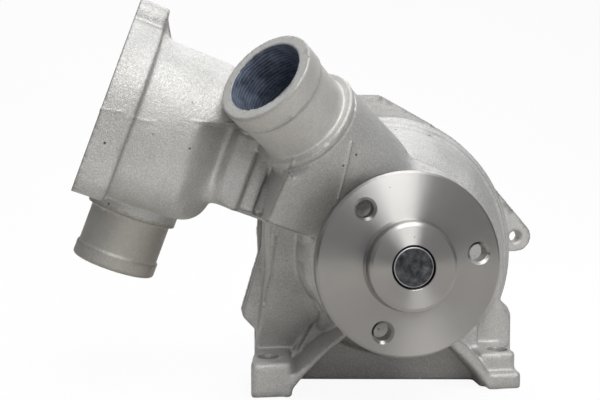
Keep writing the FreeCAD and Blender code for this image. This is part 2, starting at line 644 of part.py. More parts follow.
def pump_shaft():
    front, rear = SHAFT_FRONT_Y, SHAFT_REAR_Y
    return with_raceways(turned([(0, front), (SHAFT_R - 0.6, front), (SHAFT_R, front + 0.6),
                                 (SHAFT_R, rear - 0.8), (SHAFT_R - 0.8, rear), (0, rear)]))


def bearing_outer_ring():
    front, rear, chamfer = BEARING_FRONT_Y, BEARING_REAR_Y, 0.5
    return with_raceways(turned([
        (BEARING_BORE_R, front), (BEARING_R - chamfer, front), (BEARING_R, front + chamfer),
        (BEARING_R, rear - chamfer), (BEARING_R - chamfer, rear), (BEARING_BORE_R, rear)]))


def ball_centres(row_y):
    centres = []
    for k in range(BALLS):
        x, z = around((0, 0), BALL_PITCH_R, 360.0 * k / BALLS)
        centres.append(V(x, row_y, z))
    return centres


def ball_row(row_y):
    return Part.makeCompound([Part.makeSphere(BALL_R, c) for c in ball_centres(row_y)])


def ball_cage(row_y, side):
    """Cage ring with open pockets; its solid rim is on one side of the balls (+1 or -1 along Y)."""
    low, high = sorted((row_y - side * 1.6, row_y + side * 4.6))
    ring = ring_y(CAGE_OUTER_R, CAGE_INNER_R, low, high)
    pockets = []
    for centre in ball_centres(row_y):
        outward = V(centre.x, 0, centre.z).normalize()
        pockets.append(Part.makeCylinder(POCKET_R, 2 * BALL_R, centre - outward * BALL_R, outward))
    return ring.cut(Part.makeCompound(pockets))


def bearing_shield(outer_y, side):
    """Lip seal pressed into the bearing's end; side is +1 when the bearing lies towards +Y."""
    lip_r = SHAFT_R + 0.05
    profile = [(lip_r, 1.2), (lip_r, 0.4), (9.4, 0.2), (BEARING_BORE_R, 0.2), (BEARING_BORE_R, 2.0),
               (10.6, 2.0), (9.6, 1.2)]
    return turned([(r, outer_y + side * depth) for r, depth in profile])


def water_slinger():
    """Rubber disc on the shaft that throws leaked coolant out into the drain hole."""
    return turned([(SHAFT_R, -34.6), (9.2, -34.6), (12.8, -33.6), (12.8, -32.8), (9.2, -33.4), (9.2, -32.4),
                   (SHAFT_R, -32.4)])


def vane(angle_deg, back_y):
    """Backward-curved vane: part of a thin shell between the vane ring's inner and outer radius."""
    curve_r, thickness = 24.0, 2.4
    x, z = around((0, 0), VANE_CURVE_PITCH_R, angle_deg)
    shell = along_y(curve_r, VANE_FRONT_Y, back_y, x, z)
    shell = shell.cut(along_y(curve_r - thickness, VANE_FRONT_Y - 1, back_y + 1, x, z))
    half = Part.makeBox(90, 60, 45, V(-45, -40, 0))
    half.rotate(V(0, 0, 0), Y_AXIS, -angle_deg)
    return shell.common(ring_y(IMPELLER_R, VANE_INNER_R, VANE_FRONT_Y, back_y)).common(half)


def impeller():
    front, back = IMPELLER_DISC_Y
    hub_front = IMPELLER_HUB_FRONT_Y
    body = turned([(SHAFT_R, hub_front), (IMPELLER_HUB_R - 1, hub_front), (IMPELLER_HUB_R, hub_front + 1),
                   (IMPELLER_HUB_R + 1.2, front), (IMPELLER_R, front), (IMPELLER_R, back), (SHAFT_R, back)])
    return fuse([body] + [vane(360.0 * k / VANES, front + 0.5) for k in range(VANES)])


# ---------------------------------------------------------------- face seal
def seal_cup():
    """Pressed metal cup: a front web, a wall in the bore and a lip on the tower's rear face."""
    web_y, lip_y, sheet, web_r, lip_r = SEAL_WEB_Y, BEARING_BOSS_Y[1], 0.8, 9.6, 17.4
    return turned([(web_r, web_y), (BEARING_R, web_y), (BEARING_R, lip_y), (lip_r, lip_y),
                   (lip_r, lip_y + sheet), (BEARING_R - sheet, lip_y + sheet),
                   (BEARING_R - sheet, web_y + sheet), (web_r, web_y + sheet)])


def seal_bellows():
    """Rubber bellows: a flange on the cup's web, a folded sleeve and a collar behind the carbon ring."""
    flange_y, collar_y = SEAL_WEB_Y + 0.8, CARBON_BACK_Y
    outside = [(11.0, flange_y), (11.0, -29.2), (9.9, -28.6), (9.9, -27.2), (10.7, -26.4), (9.9, -25.6),
               (9.9, -24.9), (11.9, -24.9), (11.9, collar_y)]
    inside = [(8.9, collar_y), (8.9, -25.4), (9.5, -26.4), (8.9, -27.4), (8.9, flange_y)]
    return turned(outside + inside)


def seal_spring():
    """Coil spring between the cup's web and the drive ring, drawn through round sections along a helix."""
    coil_r, wire_r, start_y, height, turns = 12.7, 0.45, -29.7, 4.1, 3
    per_turn = 16
    climb = V(0, height / turns, 0) * (1 / (2 * math.pi))
    sections = []
    for k in range(turns * per_turn + 1):
        angle = 2 * math.pi * k / per_turn
        outward = V(math.cos(angle), 0, math.sin(angle))
        along = V(-math.sin(angle), 0, math.cos(angle)) * coil_r + climb
        centre = outward * coil_r + V(0, start_y, 0) + climb * angle
        sections.append(Part.Wire([Part.Circle(centre, along, wire_r).toShape()]))
    return Part.makeLoft(sections, True, True)


def seal_drive_ring():
    """Thin metal sleeve round the carbon ring, with a rim that the spring pushes on."""
    front_y, rim_y, rear_y = -25.0, -24.4, -21.4
    return turned([(11.95, front_y), (13.6, front_y), (13.6, rim_y), (12.6, rim_y), (12.6, rear_y),
                   (12.05, rear_y), (12.05, rim_y), (11.95, rim_y)])


def seal_carbon_ring():
    """Carbon ring with a narrow raised nose that runs on the mating ring."""
    bore_r, rim_r, rim_y = 8.6, 12.0, -21.6
    return turned([(bore_r, CARBON_BACK_Y), (rim_r, CARBON_BACK_Y), (rim_r, rim_y), (11.2, rim_y),
                   (11.2, SEAL_FACE_Y), (9.6, SEAL_FACE_Y), (9.6, -21.0), (bore_r, -21.0)])


def seal_mating_ring():
    """Hard ring that turns with the impeller."""
    return turned([(MATING_BORE_R, SEAL_FACE_Y), (13.2, SEAL_FACE_Y), (13.2, MATING_BACK_Y),
                   (MATING_BORE_R, MATING_BACK_Y)])


def mating_ring_boot():
    """Rubber boot that holds the mating ring on the shaft, against the impeller's hub."""
    return turned([(SHAFT_R, -19.6), (MATING_BORE_R, -19.6), (MATING_BORE_R, MATING_BACK_Y),
                   (12.6, MATING_BACK_Y), (12.6, IMPELLER_HUB_FRONT_Y), (SHAFT_R, IMPELLER_HUB_FRONT_Y)])


# ---------------------------------------------------------------- write one STEP file per piece
def build():
    front_row, rear_row = BALL_ROWS_Y
    return {
        "pump_housing": pump_housing(),
        "rear_cover": rear_cover(),
        "cover_gasket": cover_gasket(),
        "cover_screws": cover_screws(),
        "outlet_seal_ring": outlet_seal_ring(),
        "hub_flange": hub_flange(),
        "pump_shaft": pump_shaft(),
        "bearing_outer_ring": bearing_outer_ring(),
        "front_bearing_balls": ball_row(front_row),
        "rear_bearing_balls": ball_row(rear_row),
        "front_ball_cage": ball_cage(front_row, 1),
        "rear_ball_cage": ball_cage(rear_row, -1),
        "front_bearing_shield": bearing_shield(BEARING_FRONT_Y, 1),
        "rear_bearing_shield": bearing_shield(BEARING_REAR_Y, -1),
        "water_slinger": water_slinger(),
        "impeller": impeller(),
        "seal_cup": seal_cup(),
        "seal_bellows": seal_bellows(),
        "seal_spring": seal_spring(),
        "seal_drive_ring": seal_drive_ring(),
        "seal_carbon_ring": seal_carbon_ring(),
        "seal_mating_ring": seal_mating_ring(),
        "mating_ring_boot": mating_ring_boot(),
    }


def main():
    os.makedirs("parts", exist_ok=True)
    for name, shape in build().items():
        sound = shape.isValid() and len(shape.Solids) >= 1
        print(name, "solids", len(shape.Solids), "volume", round(shape.Volume), "valid", sound)
        shape.exportStep(os.path.join("parts", name + ".step"))


main()
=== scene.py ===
"""Looks of the engine coolant pump: the cast housing and cover get soft foundry edges, flash lines and a
shot-blasted skin, the hub gets a turned steel face, and every hidden piece gets its own material.
The casting is shaped on a grid of signed distances in millimetres and then turned into a mesh in metres."""

import math
from functools import reduce

import bpy
import numpy as np
import openvdb
from mathutils import Matrix, Vector


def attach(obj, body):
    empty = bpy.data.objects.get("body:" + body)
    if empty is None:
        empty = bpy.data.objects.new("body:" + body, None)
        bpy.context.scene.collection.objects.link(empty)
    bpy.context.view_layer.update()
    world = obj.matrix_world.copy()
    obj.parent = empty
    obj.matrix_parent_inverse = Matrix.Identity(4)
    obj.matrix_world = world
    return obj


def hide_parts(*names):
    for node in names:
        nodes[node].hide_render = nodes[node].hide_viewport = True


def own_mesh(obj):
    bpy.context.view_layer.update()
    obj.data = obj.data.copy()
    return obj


MM = 0.001

# places shared with the CAD model, in millimetres
ARM_TILT = math.radians(20.5)
CHAMBER_YAW = math.radians(7.0)
CHAMBER_PIVOT = (-106.0, -37.0)
CHAMBER_AXIS_P = 16.4
FLANGE_FACE_S = -132.0
FRONT_MOUTH = np.array([-55.0, -81.5, 70.4])
FRONT_INWARD = np.array([0.614, 0.554, -0.563]) / np.linalg.norm([0.614, 0.554, 0.563])
FRONT_BORE_R = 15.0
LOWER_SPIGOT_S = -106.0
LOWER_SPIGOT_TOP_P = -20.0
SPIGOT_REACH = 24.0
FOOT_BOLTS = ((-49.3, -30.5), (55.2, -30.5))
WEEP_Y = -33.6
FLOOR_Z = -62.4
COVER_THICKNESS = 7.2

# the casting's skin, in millimetres
CAST_ROUNDING = 0.7
COVER_ROUNDING = 0.5
COVER_CRISP_EDGE = 1.6
COVER_FADE = 1.5
CRISP_MARGIN = 2.5
HOUSING_VOXEL = 0.5
COVER_VOXEL = 0.55
FLASH_WIDTH = 0.4
# how far from the surface the grid is changed under a pressed line and under flash
PRESS_REACH = 3.5
FLASH_REACH = 3.0
# material slots of the housing's skin
MAIN_SKIN, FRONT_SPIGOT_SKIN, LOWER_SPIGOT_SKIN, BORE_SKIN = range(4)
# places where the casting is softer: the two ends of a line, the reach round it and the rounding
SOFT_ZONES = (
    # the chamber's facet: its outer edge, the valley between it and the arm, and its lower end
    (((-82.0, -71.0, 45.0), (-80.0, -70.0, 22.0)), 8.0, 2.2),
    (((-67.1, -54.0, 51.4), (-73.7, -54.0, 26.5)), 6.0, 1.6),
    (((-88.0, -62.0, 16.5), (-77.4, -60.0, 24.0)), 12.0, 3.0),
    # the neck's root on the scroll
    (((-12.0, -62.0, 22.0), (12.0, -52.0, 38.0)), 14.0, 2.5),
    # the corner below the stop collar
    (((-41.0, -72.0, 33.0), (-39.5, -71.0, 30.0)), 5.0, 1.8),
)
# lines pressed into or raised from the skin: (x, z) points, front and rear limit in y, depth and width
PRESSED_LINES = (
    # the groove just outside the rounded edge of the left web
    (((-36.3, 5.0), (-36.2, -3.0), (-32.0, -15.9), (-25.2, -29.0), (-25.6, -33.0), (-33.8, -47.2)),
     -60.0, -14.0, 1.15, 1.25),
    # the raised lip along the lower edge of the neck's skirt
    (((-54.5, 16.8), (-48.6, 14.3), (-34.0, 8.0)), -75.0, -50.0, -0.9, 0.8),
    # the ridge along the left web
    (((-47.4, 6.5), (-47.9, 1.0), (-48.6, -10.0), (-50.2, -18.5), (-51.2, -26.0)), -46.0, -18.0, -0.5, 0.7),
)
# mould parting line across the chamber: x, z and the flash's height
PARTING_LINE = (
    (-117.0, 58.6, 0.05), (-113.0, 58.1, 0.35), (-106.6, 57.4, 0.30), (-105.0, 56.3, 0.05),
    (-102.4, 55.0, 0.35), (-97.4, 54.1, 0.35), (-94.0, 54.1, 0.05), (-82.0, 54.2, 0.05),
    (-79.5, 54.2, 0.45), (-68.0, 52.9, 0.35), (-64.0, 52.9, 0.0),
)
# the flash lines down the neck and across the web, and their heights
NECK_FLASH_X, NECK_FLASH_Z, NECK_FLASH_LEAN, NECK_FLASH_HEIGHT = -22.3, 44.9, 0.14, 0.8
WEB_FLASH_S, WEB_FLASH_HEIGHT = -55.3, 0.45

# the view
CAMERA_PLACE = (-78.9, -375.1, 44.7)
CAMERA_LOOK = (0.12506, 0.98993, -0.06627)
CAMERA_LENS = 48.0
CAMERA_SENSOR = 36.0

# radii on the turned parts, as shares of this span
RADIUS_SPAN = 10.0 * MM
# radii of the painted shadow at the edge of the hub's bore, in the gap round the shaft
HUB_BORE_GAP_SHADE = (0.832, 0.850)
# radii of the painted highlight ring just inside the shaft's chamfer
CHAMFER_HIGHLIGHT_RING = (0.715, 0.735, 0.755, 0.768)
# radii where the painted shadow of the gap between shaft and hub begins on the shaft
SHAFT_EDGE_SHADE = (0.762, 0.775)
# spacing of the marks that the tools left, in millimetres
BORING_PITCH = 1.35
FRONT_SPIGOT_PITCH = 0.8
LOWER_SPIGOT_PITCH = 0.7


# ---------------------------------------------------------------- signed distance grids
class Field:
    """Signed distance to a solid on a regular grid; x, y and z are the grid's coordinates in millimetres."""

    def __init__(self, node, voxel, band=8):
        mesh = node.data
        mesh.calc_loop_triangles()
        points = np.empty(len(mesh.vertices) * 3, np.float32)
        mesh.vertices.foreach_get("co", points)
        corners = np.empty(len(mesh.loop_triangles) * 3, np.int32)
        mesh.loop_triangles.foreach_get("vertices", corners)
        points = points.reshape(-1, 3) / MM
        self.voxel = voxel
        self.transform = openvdb.createLinearTransform(voxelSize=voxel)
        triangles = corners.reshape(-1, 3).astype(np.uint32)
        grid = openvdb.FloatGrid.createLevelSetFromPolygons(
            points, triangles=triangles, transform=self.transform, halfWidth=band)
        low, high = grid.evalActiveVoxelBoundingBox()
        self.low = low
        self.values = np.empty([last - first + 1 for first, last in zip(low, high)], np.float32)
        grid.copyToArray(self.values, ijk=low)
        self.background = grid.background
        axes = [np.arange(first, last + 1, dtype=np.float32) * voxel for first, last in zip(low, high)]
        self.x, self.y, self.z = np.meshgrid(*axes, indexing="ij", sparse=True)

    def block(self, low, high):
        """Index slices of the grid cells between two corners in millimetres."""
        cuts = []
        for first, count, a, b in zip(self.low, self.values.shape, low, high):
            start = int(a / self.voxel) - first
            end = int(b / self.voxel) - first
            cuts.append(slice(max(start, 0), min(end, count)))
        return tuple(cuts)

    def blurred(self, distance, block=(slice(None),) * 3):
        """The field, or a block of it, after a Gaussian blur, which rounds corners and fills inner ones."""
        sigma = distance / self.voxel
        reach = int(3 * sigma + 0.5)
        kernel = np.exp(-0.5 * (np.arange(-reach, reach + 1) / sigma) ** 2)
        kernel = (kernel / kernel.sum()).astype(np.float32)
        values = self.values[block]
        for axis in range(3):
            count = values.shape[axis]
            padded = np.pad(values, [(reach, reach) if a == axis else (0, 0) for a in range(3)], mode="edge")
            total = np.zeros_like(values)
            for k, share in enumerate(kernel):
                window = [slice(None)] * 3
                window[axis] = slice(k, k + count)
                total += share * padded[tuple(window)]
            values = total
        return values

    def surface(self, adaptivity=0.01):
        """Vertices in metres and faces of the zero surface."""
        grid = openvdb.FloatGrid(self.background)
        grid.copyFromArray(self.values, ijk=self.low)
        grid.transform = self.transform
        points, triangles, quads = grid.convertToPolygons(isovalue=0.0, adaptivity=adaptivity)
        faces = [tuple(int(corner) for corner in face[::-1]) for face in triangles]
        faces += [tuple(int(corner) for corner in face[::-1]) for face in quads]
        return points * MM, faces


def in_arm(x, z):
    """Coordinates along the arm and across it."""
    c, s = math.cos(ARM_TILT), math.sin(ARM_TILT)
    return x * c - z * s, x * s + z * c


def in_chamber(x, y, z):
    """Coordinates of the chamber: distance along its axis, then sideways and upward offsets from it."""
    s, p = in_arm(x, z)
    ds, dy = s - CHAMBER_PIVOT[0], y - CHAMBER_PIVOT[1]
    c, t = math.cos(CHAMBER_YAW), math.sin(CHAMBER_YAW)
    return ds * c + dy * t + CHAMBER_PIVOT[0], dy * c - ds * t, p - CHAMBER_AXIS_P


def in_spigot(x, y, z):
    """Distance in from the front spigot's mouth, and radius from its axis."""
    dx, dy, dz = x - FRONT_MOUTH[0], y - FRONT_MOUTH[1], z - FRONT_MOUTH[2]
    t = dx * FRONT_INWARD[0] + dy * FRONT_INWARD[1] + dz * FRONT_INWARD[2]
    return t, np.sqrt(np.maximum(dx * dx + dy * dy + dz * dz - t * t, 0.0))


def outside_rod(radius, start, end, along, across):
    """How far a point lies outside a rod, from its coordinate along the rod and its radius from the axis."""
    return np.maximum(np.maximum(start - along, along - end), across - radius)


def segment_gap(field, block, a, b):
    """Distance from the block's grid points to the segment between two points."""
    x, y, z = field.x[block[0]], field.y[:, block[1]], field.z[:, :, block[2]]
    span = b - a
    along = (x - a[0]) * span[0] + (y - a[1]) * span[1] + (z - a[2]) * span[2]
    share = np.clip(along / float(span @ span), 0.0, 1.0)
    return np.sqrt((x - a[0] - share * span[0]) ** 2 + (y - a[1] - share * span[1]) ** 2
                   + (z - a[2] - share * span[2]) ** 2)


def soften(field, ends, radius, distance):
    """Blurs the field near the segment between two points, fading out at the radius round it."""
    a, b = (np.array(end, np.float32) for end in ends)
    reach = radius + 3 * distance
    block = field.block(np.minimum(a, b) - reach, np.maximum(a, b) + reach)
    gap = segment_gap(field, block, a, b)
    weight = np.clip((radius - gap) / (0.6 * radius), 0.0, 1.0)
    field.values[block] += weight * (field.blurred(distance, block) - field.values[block])


def press_line(field, line, y_low, y_high, depth, width):
    """Presses a shallow groove into the skin along a polyline of (x, z) points, between two y planes.
    A negative depth raises a ridge instead."""
    xs, zs = zip(*line)
    border = 4.0
    low = (min(xs) - border, y_low, min(zs) - border)
    high = (max(xs) + border, y_high, max(zs) + border)
    block = field.block(low, high)
    x, z = field.x[block[0]], field.z[:, :, block[2]]
    gap = np.full(np.broadcast_shapes(x.shape, z.shape), np.inf, np.float32)
    for (x0, z0), (x1, z1) in zip(line, line[1:]):
        dx, dz = x1 - x0, z1 - z0
        share = np.clip(((x - x0) * dx + (z - z0) * dz) / (dx * dx + dz * dz), 0.0, 1.0)
        gap = np.minimum(gap, np.hypot(x - x0 - share * dx, z - z0 - share * dz))
    skin = np.abs(field.values[block]) < PRESS_REACH
    field.values[block] += depth * np.exp(-(gap / width) ** 2) * skin


def islands(node, gap):
    """Centres in x and z of a node's separate solids that stand at least gap millimetres apart."""
    centres = []
    for vertex in node.data.vertices:
        x, z = vertex.co.x / MM, vertex.co.z / MM
        for members in centres:
            if math.hypot(members[0][0] - x, members[0][1] - z) < gap:
                members.append((x, z))
                break
        else:
            centres.append([(x, z)])
    spans = [np.array(members) for members in centres]
    return [(span.min(0) + span.max(0)) / 2 for span in spans]


def machined_regions(field, screws):
    """Distance outside each machined or thin region of the housing, where corners stay crisp."""
    x, y, z = field.x, field.y, field.z
    s, p = in_arm(x, z)
    chamber_s, chamber_u, chamber_v = in_chamber(x, y, z)
    # the front spigot with its stop collar, and the lower spigot
    yield outside_rod(SPIGOT_REACH, -6.0, 31.0, *in_spigot(x, y, z))
    yield np.maximum(p - LOWER_SPIGOT_TOP_P, np.abs(s - LOWER_SPIGOT_S) - SPIGOT_REACH)
    # the flange's face and the thermostat's seat
    yield chamber_s - (FLANGE_FACE_S + 2.5)
    yield outside_rod(30.0, -140.0, -97.0, chamber_s, np.hypot(chamber_u, chamber_v))
    # the face under the cover, the bores on the shaft's axis and the weep hole
    yield -8.5 - y
    yield outside_rod(16.5, -80.0, -20.0, y, np.hypot(x, z))
    yield outside_rod(3.5, -60.0, -15.0, z, np.hypot(x, y - WEEP_Y))
    for bolt_x, bolt_y in FOOT_BOLTS:
        yield outside_rod(5.5, -70.0, -44.0, z, np.hypot(x - bolt_x, y - bolt_y))
    for screw_x, screw_z in screws:
        yield outside_rod(4.0, -21.0, 0.0, y, np.hypot(x - screw_x, z - screw_z))


def flash_lines(field):
    """Height in millimetres of the mould flash that stands on the casting's skin."""
    x, y, z = field.x, field.y, field.z
    line_x, line_z, line_height = zip(*PARTING_LINE)
    above = z - np.interp(x, line_x, line_z)
    chamber_line = np.interp(x, line_x, line_height) * np.exp(-(above / FLASH_WIDTH) ** 2) * (y < -50.0)
    beside = x - NECK_FLASH_X - NECK_FLASH_LEAN * (z - NECK_FLASH_Z)
    neck_line = np.exp(-(beside / FLASH_WIDTH) ** 2) * ((z > 24.0) & (z < 47.0) & (y < -52.0))
    s, p = in_arm(x, z)
    web_line = np.exp(-((s - WEB_FLASH_S) / FLASH_WIDTH) ** 2) * ((p > -3.0) & (p < 23.0) & (y < -54.0))
    return chamber_line + NECK_FLASH_HEIGHT * neck_line + WEB_FLASH_HEIGHT * web_line


def new_mesh_object(name, points, faces, materials):
    """A smooth-shaded object from points in metres and faces."""
    mesh = bpy.data.meshes.new(name)
    mesh.from_pydata(np.asarray(points).tolist(), [], faces)
    mesh.validate()
    mesh.update()
    mesh.polygons.foreach_set("use_smooth", np.ones(len(mesh.polygons), bool))
    for material in materials:
        mesh.materials.append(material)
    piece = bpy.data.objects.new(name, mesh)
    bpy.context.scene.collection.objects.link(piece)
    return piece


def face_centres(mesh):
    """Centres of a mesh's faces, in millimetres."""
    centres = np.empty(len(mesh.polygons) * 3, np.float32)
    mesh.polygons.foreach_get("center", centres)
    return centres.reshape(-1, 3) / MM


def cast_housing(nodes, voxel, materials):
    """The housing with foundry rounding between its crisp machined places, and flash on its mould lines."""
    field = Field(nodes["pump_housing"], voxel)
    screws = islands(nodes["cover_screws"], 12.0)
    outside = reduce(np.minimum, machined_regions(field, screws))
    cast = np.clip(outside / CRISP_MARGIN, 0.0, 1.0)
    field.values += cast * (field.blurred(CAST_ROUNDING) - field.values)
    for ends, radius, distance in SOFT_ZONES:
        soften(field, ends, radius, distance)
    for line, front, rear, depth, width in PRESSED_LINES:
        press_line(field, line, front, rear, depth, width)
    field.values -= flash_lines(field) * (np.abs(field.values) < FLASH_REACH)
    points, faces = field.surface()
    piece = new_mesh_object("housing_casting", points, faces, materials)
    centre = face_centres(piece.data)
    t, r = in_spigot(centre[:, 0], centre[:, 1], centre[:, 2])
    s, p = in_arm(centre[:, 0], centre[:, 2])
    slot = np.full(len(centre), MAIN_SKIN, np.int32)
    slot[(t > -0.5) & (t < 29.0) & (r < SPIGOT_REACH)] = FRONT_SPIGOT_SKIN
    slot[(p < LOWER_SPIGOT_TOP_P) & (np.abs(s - LOWER_SPIGOT_S) < SPIGOT_REACH)] = LOWER_SPIGOT_SKIN
    slot[(t > 0.2) & (t < 64.0) & (r < FRONT_BORE_R + 0.35)] = BORE_SKIN
    piece.data.polygons.foreach_set("material_index", slot)
    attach(piece, "casing")
    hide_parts("pump_housing")


def cast_cover(nodes, voxel, materials):
    """The rear cover with a softened outline; its two faces and their edges stay crisp."""
    field = Field(nodes["rear_cover"], voxel, 5)
    from_faces = np.minimum(-field.y, field.y + COVER_THICKNESS)
    cast = np.clip((from_faces - COVER_CRISP_EDGE) / COVER_FADE, 0.0, 1.0)
    field.values += cast * (field.blurred(COVER_ROUNDING) - field.values)
    points, faces = field.surface()
    piece = new_mesh_object("cover_casting", points, faces, materials)
    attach(piece, "casing")
    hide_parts("rear_cover")


def springy_part(nodes, name):
    """A copy of a seal part with its own mesh, hung on the casing in place of the hidden CAD node."""
    piece = bpy.data.objects.new(name + "_springy", nodes[name].data.copy())
    bpy.context.scene.collection.objects.link(piece)
    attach(piece, "casing")
    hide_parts(name)
    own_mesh(piece)


# ---------------------------------------------------------------- material helpers
class Shader:
    """A node material that is written as a short list of steps."""

    def __init__(self, name):
        self.material = bpy.data.materials.new(name)
        self.material.use_nodes = True
        self.tree = self.material.node_tree
        self.surface = self.tree.nodes["Principled BSDF"]
        self.place = self.add("ShaderNodeTexCoord").outputs["Object"]

    def add(self, kind, inputs=None, **settings):
        node = self.tree.nodes.new(kind)
        for key, value in settings.items():
            setattr(node, key, value)
        for key, value in (inputs or {}).items():
            self.feed(node.inputs[key], value)
        return node

    def feed(self, socket, value):
        if isinstance(value, bpy.types.NodeSocket):
            self.tree.links.new(value, socket)
        else:
            socket.default_value = value

    def set(self, **inputs):
        for key, value in inputs.items():
            self.feed(self.surface.inputs[key.replace("_", " ")], value)

    def noise(self, scale, detail=2.0, roughness=0.5, place=None):
        node = self.add("ShaderNodeTexNoise", {
            "Vector": place or self.place, "Scale": scale, "Detail": detail, "Roughness": roughness})
        return node.outputs["Fac"]

    def ramp(self, factor, *stops):
        """Colour ramp through (position, colour) stops; a colour may be one grey number."""
        node = self.add("ShaderNodeValToRGB", {"Fac": factor})
        elements = node.color_ramp.elements
        while len(elements) < len(stops):
            elements.new(0.5)
        for element, (position, colour) in zip(elements, stops):
            element.position = position
            shades = colour if isinstance(colour, tuple) else (colour,) * 3
            element.color = (*shades, 1.0)
        return node.outputs["Color"]

    def math(self, operation, a, b=0.0):
        return self.add("ShaderNodeMath", {0: a, 1: b}, operation=operation).outputs[0]

    def vector(self, operation, *terms, **named):
        """Vector arithmetic; a length or a dot product comes back as a number."""
        node = self.add("ShaderNodeVectorMath", {**dict(enumerate(terms)), **named}, operation=operation)
        return node.outputs["Value" if operation in ("LENGTH", "DOT_PRODUCT") else "Vector"]

    def mix(self, factor, a, b):
        node = self.add("ShaderNodeMix", data_type="RGBA")
        for socket, value in ((node.inputs[0], factor), (node.inputs[6], a), (node.inputs[7], b)):
            self.feed(socket, (*value, 1.0) if isinstance(value, tuple) else value)
        return node.outputs[2]

    def bump(self, height, distance, strength=1.0, onto=None):
        inputs = {"Height": height, "Distance": distance, "Strength": strength}
        if onto is not None:
            inputs["Normal"] = onto
        return self.add("ShaderNodeBump", inputs).outputs["Normal"]

    def along(self, origin, direction):
        """Distance in millimetres along a direction from a point."""
        offset = self.vector("SUBTRACT", self.place, tuple(c * MM for c in origin))
        return self.math("MULTIPLY", self.vector("DOT_PRODUCT", offset, tuple(direction)), 1.0 / MM)

    def from_shaft(self):
        """The direction straight out from the shaft's axis, and the distance from it."""
        flat = self.vector("MULTIPLY", self.place, (1.0, 0.0, 1.0))
        return self.vector("NORMALIZE", flat), self.vector("LENGTH", flat)


def cast_skin(name, light, dark, grain_height, rings=None):
    """Shot-blasted aluminium: mottled grey, a fine peened grain with painted glints on its pale specks and
    painted shade in its dark specks, a few dark pores, pale edges that are partly wear and partly painted
    highlight, and painted shade in creases.
    rings is (origin, direction, spacing) for faint turning marks on a spigot."""
    m = Shader(name)
    mottle = m.noise(45.0, 3.0, 0.6)
    colour = m.ramp(mottle, (0.3, dark), (0.7, light))
    grain = m.noise(2100.0, 2.0, 0.6)
    # Speckles on the grain: the pale ones are painted glints and the dark ones painted shade in the blast
    # pits.
    colour = m.mix(m.ramp(grain, (0.48, 0.0), (0.68, 2.0 * grain_height)), colour, (0.86, 0.87, 0.89))
    shadow = tuple(0.7 * c for c in dark)
    colour = m.mix(m.ramp(grain, (0.32, 1.5 * grain_height), (0.46, 0.0)), colour, shadow)
    pores = m.add("ShaderNodeTexVoronoi", {"Vector": m.place, "Scale": 190.0}).outputs["Distance"]
    pore_zone = m.ramp(m.noise(60.0, 1.0), (0.60, 0.0), (0.66, 1.0))
    pore = m.math("MULTIPLY", m.ramp(pores, (0.06, 1.0), (0.12, 0.0)), pore_zone)
    colour = m.mix(pore, colour, (0.05, 0.045, 0.04))
    edge = m.add("ShaderNodeNewGeometry").outputs["Pointiness"]
    # Pointiness paints the edges: convex edges get a pale colour that is partly wear and partly painted
    # highlight, and creases get painted shade.
    colour = m.mix(m.ramp(edge, (0.512, 0.0), (0.565, 0.6)), colour, (0.74, 0.73, 0.70))
    colour = m.mix(m.ramp(edge, (0.43, 0.7), (0.490, 0.0)), colour, (0.13, 0.12, 0.105))
    skin = m.bump(grain, grain_height * MM)
    skin = m.bump(m.noise(600.0, 2.0), 1.5 * grain_height * MM, 0.6, onto=skin)
    if rings:
        origin, direction, spacing = rings
        phase = m.math("MULTIPLY", m.along(origin, direction), 2 * math.pi / spacing)
        skin = m.bump(m.math("SINE", phase), 0.02 * MM, 0.5, onto=skin)
    roughness = m.ramp(m.noise(900.0, 2.0), (0.3, 0.48), (0.7, 0.64))
    m.set(Base_Color=colour, Metallic=0.70, Roughness=roughness, Normal=skin)
    return m.material


def dark_bore(name):
    """Inside of the front spigot: a dark blue-black tone over coarse, slightly uneven boring rings."""
    m = Shader(name)
    depth = m.along(FRONT_MOUTH, FRONT_INWARD)
    wobble = m.math("MULTIPLY", m.noise(70.0, 2.0), 2.6)
    phase = m.math("MULTIPLY", m.math("ADD", depth, wobble), 2 * math.pi / BORING_PITCH)
    ring = m.math("SINE", phase)
    mark = m.math("ADD", m.math("MULTIPLY", ring, 0.08), m.noise(240.0, 3.0, 0.7))
    shade = m.ramp(mark, (0.3, (0.06, 0.073, 0.105)), (0.75, (0.24, 0.28, 0.37)))
    m.set(Base_Color=shade, Metallic=0.3, Roughness=0.5, Normal=m.bump(ring, 0.05 * MM))
    return m.material


